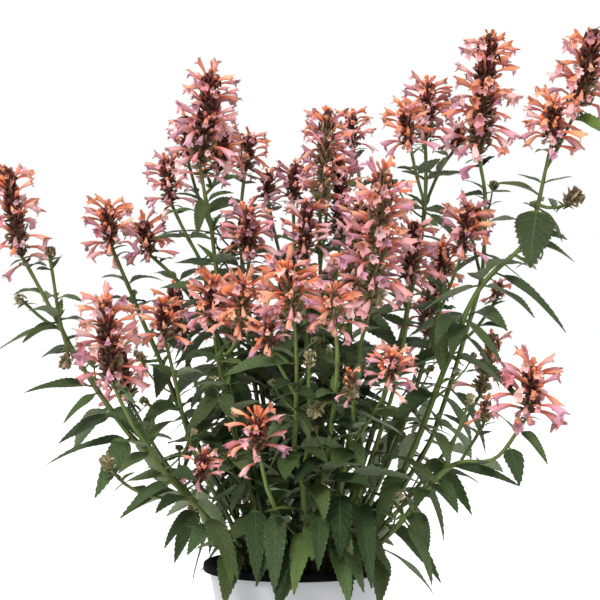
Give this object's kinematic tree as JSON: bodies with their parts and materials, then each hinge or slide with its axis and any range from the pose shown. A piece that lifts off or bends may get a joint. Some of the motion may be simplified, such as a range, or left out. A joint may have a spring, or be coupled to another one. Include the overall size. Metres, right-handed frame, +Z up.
{
  "type": "potted giant hyssop",
  "caption": "Giant hyssop in flower, with orange and pink spikes over dark toothed leaves, growing in a black nursery pot inside a plain white pot.",
  "frame": {"origin": "the middle of the outer pot's foot, on the surface that it stands on", "axes": "+Z up, -Y towards the viewer of the front, +X to the viewer's right"},
  "size_m": [0.618, 0.3778, 0.7154],
  "materials": {
    "white_pot": "satin white plastic, smooth",
    "black_pot": "matt black thin moulded plastic",
    "soil": "dark crumbly potting soil with bark",
    "foliage": "dark green leaves with net veins, square green stems with reddish nodes",
    "flowers": "orange to pink corollas over maroon calyxes"
  },
  "bodies": {
    "root": {"outer_pot": "white_pot", "nursery_pot": "black_pot", "soil": "soil", "spike_back_left": "flowers", "spike_back_mid": "flowers", "spike_back_right": "flowers", "spike_centre_left": "flowers", "spike_centre_mid": "flowers", "spike_centre_right": "flowers", "spike_centre_tall": "flowers", "spike_crest_left": "flowers", "spike_crest_right": "flowers", "spike_far_left": "flowers", "spike_far_right": "flowers", "spike_front_centre": "flowers", "spike_front_left": "flowers", "spike_front_mid": "flowers", "spike_front_tall": "flowers", "spike_inner_left": "flowers", "spike_left_back": "flowers", "spike_left_front": "flowers", "spike_left_mid": "flowers", "spike_left_upper": "flowers", "spike_low_front": "flowers", "spike_low_right": "flowers", "spike_right_front": "flowers", "spike_right_inner": "flowers", "spike_right_mid": "flowers", "spike_right_orange": "flowers", "spike_right_tall": "flowers", "stem_back_left": "foliage", "stem_back_mid": "foliage", "stem_back_right": "foliage", "stem_centre_left": "foliage", "stem_centre_mid": "foliage", "stem_centre_right": "foliage", "stem_centre_tall": "foliage", "stem_crest_left": "foliage", "stem_crest_right": "foliage", "stem_far_left": "foliage", "stem_front_centre": "foliage", "stem_front_left": "foliage", "stem_front_mid": "foliage", "stem_front_tall": "foliage", "stem_hind_left": "foliage", "stem_hind_mid": "foliage", "stem_hind_right": "foliage", "stem_inner_left": "foliage", "stem_left_back": "foliage", "stem_left_front": "foliage", "stem_left_mid": "foliage", "stem_left_upper": "foliage", "stem_low_front": "foliage", "stem_low_right": "foliage", "stem_right_front": "foliage", "stem_right_mid": "foliage", "stem_right_orange": "foliage", "stem_right_tall": "foliage", "stem_side_left": "foliage", "stem_side_right": "foliage"}
  },
  "joints": []
}
